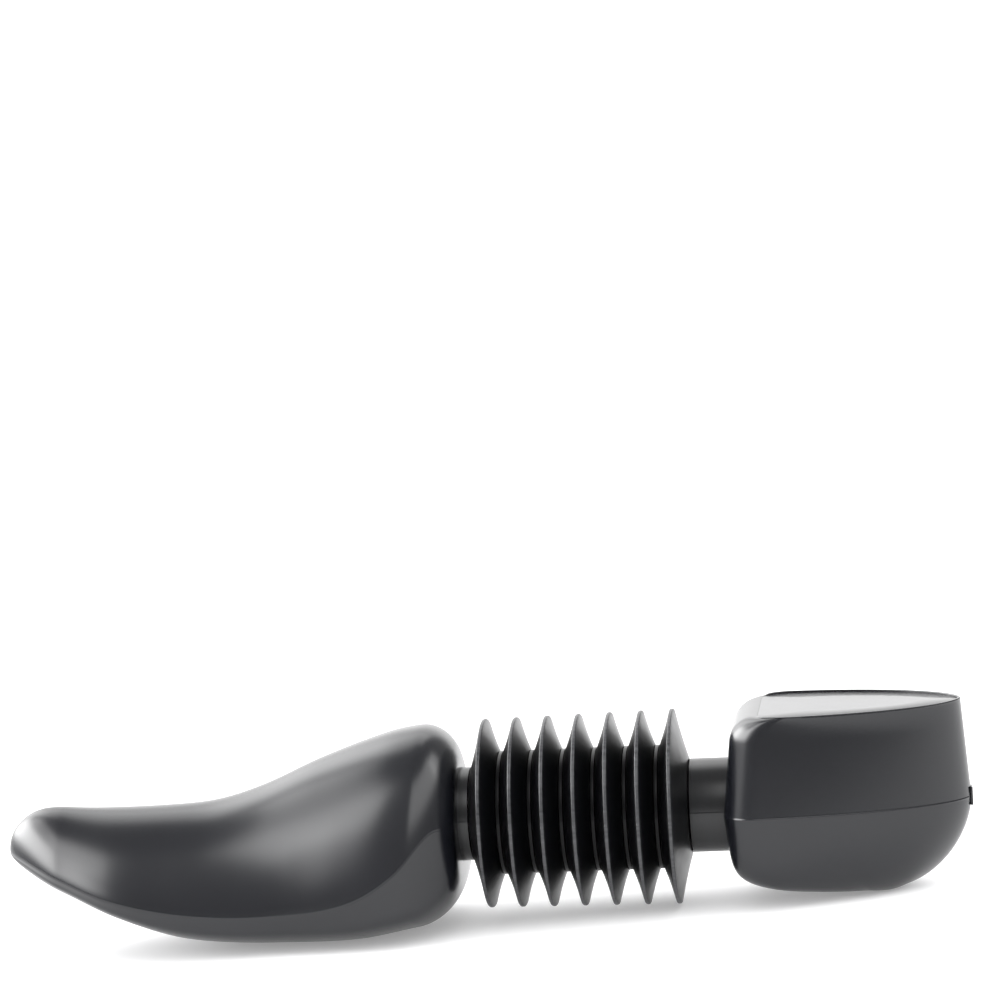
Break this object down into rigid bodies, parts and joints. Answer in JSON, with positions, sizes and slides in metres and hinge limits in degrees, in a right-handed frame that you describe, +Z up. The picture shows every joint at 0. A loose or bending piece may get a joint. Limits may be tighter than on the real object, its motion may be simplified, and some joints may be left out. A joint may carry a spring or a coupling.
{
  "type": "shoe stretcher",
  "caption": "Sprung shoe stretcher: a foot-shaped toe block and a flat-topped heel block joined by a round bellows that squeezes and bends.",
  "frame": {"origin": "centre of the bounding box in X and Y, on the surface that the stretcher lies on", "axes": "+X along the shoe from the toe tip to the back of the heel, +Y across it, +Z up from the surface"},
  "size_m": [0.2924, 0.0706, 0.0609],
  "materials": {
    "block_plastic": "satin charcoal blow-moulded plastic with soft highlights",
    "plate_plastic": "satin charcoal flat top, a little smoother than the sides",
    "neck_plastic": "satin near-black plastic",
    "rim_plastic": "soft-gloss stretched rim with a fine parting line",
    "fold_plastic": "near-black folded flank, whitened a little where it is stretched"
  },
  "bodies": {
    "toe_block": {"toe_upper_shell": "block_plastic", "toe_sole_shell": "block_plastic", "toe_neck": "neck_plastic"},
    "fold_1": {"crest_1": "rim_plastic", "toe_flank_1": "fold_plastic", "heel_flank_1": "fold_plastic"},
    "root_band_1": {"root_1": "fold_plastic"},
    "fold_2": {"crest_2": "rim_plastic", "toe_flank_2": "fold_plastic", "heel_flank_2": "fold_plastic"},
    "root_band_2": {"root_2": "fold_plastic"},
    "fold_3": {"crest_3": "rim_plastic", "toe_flank_3": "fold_plastic", "heel_flank_3": "fold_plastic"},
    "root_band_3": {"root_3": "fold_plastic"},
    "fold_4": {"crest_4": "rim_plastic", "toe_flank_4": "fold_plastic", "heel_flank_4": "fold_plastic"},
    "root_band_4": {"root_4": "fold_plastic"},
    "fold_5": {"crest_5": "rim_plastic", "toe_flank_5": "fold_plastic", "heel_flank_5": "fold_plastic"},
    "root_band_5": {"root_5": "fold_plastic"},
    "fold_6": {"crest_6": "rim_plastic", "toe_flank_6": "fold_plastic", "heel_flank_6": "fold_plastic"},
    "root_band_6": {"root_6": "fold_plastic"},
    "fold_7": {"crest_7": "rim_plastic", "toe_flank_7": "fold_plastic", "heel_flank_7": "fold_plastic"},
    "heel_block": {"heel_upper_shell": "block_plastic", "heel_lower_shell": "block_plastic", "heel_top_plate": "plate_plastic", "heel_neck": "neck_plastic", "gate_stub": "block_plastic"}
  },
  "joints": [
    {"name": "squeeze_1", "type": "slide", "parent": "toe_block", "child": "fold_1", "axis": [0.9988, 0, -0.0491], "range_m": [-0.0032, 0.001], "stiffness_N_per_m": 4900, "deforming": ["toe_flank_1"]},
    {"name": "pitch_1", "type": "hinge", "parent": "fold_1", "child": "root_band_1", "pos_m": [0.00402, 0, 0.03256], "axis": [0, 1, 0], "range_deg": [-7.5, 7.5], "stiffness_Nm_per_rad": 4, "deforming": ["heel_flank_1"]},
    {"name": "squeeze_2", "type": "slide", "parent": "root_band_1", "child": "fold_2", "axis": [0.9988, 0, -0.0491], "range_m": [-0.0032, 0.001], "stiffness_N_per_m": 4900, "deforming": ["toe_flank_2"]},
    {"name": "yaw_2", "type": "hinge", "parent": "fold_2", "child": "root_band_2", "pos_m": [0.01341, 0, 0.0321], "axis": [0.0491, 0, 0.9988], "range_deg": [-6.7, 6.7], "stiffness_Nm_per_rad": 3, "deforming": ["heel_flank_2"]},
    {"name": "squeeze_3", "type": "slide", "parent": "root_band_2", "child": "fold_3", "axis": [0.9988, 0, -0.0491], "range_m": [-0.0032, 0.001], "stiffness_N_per_m": 4900, "deforming": ["toe_flank_3"]},
    {"name": "pitch_3", "type": "hinge", "parent": "fold_3", "child": "root_band_3", "pos_m": [0.0228, 0, 0.03164], "axis": [0, 1, 0], "range_deg": [-7.5, 7.5], "stiffness_Nm_per_rad": 4, "deforming": ["heel_flank_3"]},
    {"name": "squeeze_4", "type": "slide", "parent": "root_band_3", "child": "fold_4", "axis": [0.9988, 0, -0.0491], "range_m": [-0.0032, 0.001], "stiffness_N_per_m": 4900, "deforming": ["toe_flank_4"]},
    {"name": "yaw_4", "type": "hinge", "parent": "fold_4", "child": "root_band_4", "pos_m": [0.03218, 0, 0.03117], "axis": [0.0491, 0, 0.9988], "range_deg": [-6.7, 6.7], "stiffness_Nm_per_rad": 3, "deforming": ["heel_flank_4"]},
    {"name": "squeeze_5", "type": "slide", "parent": "root_band_4", "child": "fold_5", "axis": [0.9988, 0, -0.0491], "range_m": [-0.0032, 0.001], "stiffness_N_per_m": 4900, "deforming": ["toe_flank_5"]},
    {"name": "pitch_5", "type": "hinge", "parent": "fold_5", "child": "root_band_5", "pos_m": [0.04157, 0, 0.03071], "axis": [0, 1, 0], "range_deg": [-7.5, 7.5], "stiffness_Nm_per_rad": 4, "deforming": ["heel_flank_5"]},
    {"name": "squeeze_6", "type": "slide", "parent": "root_band_5", "child": "fold_6", "axis": [0.9988, 0, -0.0491], "range_m": [-0.0032, 0.001], "stiffness_N_per_m": 4900, "deforming": ["toe_flank_6"]},
    {"name": "yaw_6", "type": "hinge", "parent": "fold_6", "child": "root_band_6", "pos_m": [0.05096, 0, 0.03025], "axis": [0.0491, 0, 0.9988], "range_deg": [-6.7, 6.7], "stiffness_Nm_per_rad": 3, "deforming": ["heel_flank_6"]},
    {"name": "squeeze_7", "type": "slide", "parent": "root_band_6", "child": "fold_7", "axis": [0.9988, 0, -0.0491], "range_m": [-0.0032, 0.001], "stiffness_N_per_m": 4900, "deforming": ["toe_flank_7"]},
    {"name": "pitch_7", "type": "hinge", "parent": "fold_7", "child": "heel_block", "pos_m": [0.06035, 0, 0.02979], "axis": [0, 1, 0], "range_deg": [-7.5, 7.5], "stiffness_Nm_per_rad": 4, "deforming": ["heel_flank_7"]}
  ],
  "couplings": [
    {"joint": "squeeze_2", "follows": "squeeze_1", "ratio": 1},
    {"joint": "squeeze_3", "follows": "squeeze_1", "ratio": 1},
    {"joint": "pitch_3", "follows": "pitch_1", "ratio": 1},
    {"joint": "squeeze_4", "follows": "squeeze_1", "ratio": 1},
    {"joint": "yaw_4", "follows": "yaw_2", "ratio": 1},
    {"joint": "squeeze_5", "follows": "squeeze_1", "ratio": 1},
    {"joint": "pitch_5", "follows": "pitch_1", "ratio": 1},
    {"joint": "squeeze_6", "follows": "squeeze_1", "ratio": 1},
    {"joint": "yaw_6", "follows": "yaw_2", "ratio": 1},
    {"joint": "squeeze_7", "follows": "squeeze_1", "ratio": 1},
    {"joint": "pitch_7", "follows": "pitch_1", "ratio": 1}
  ]
}
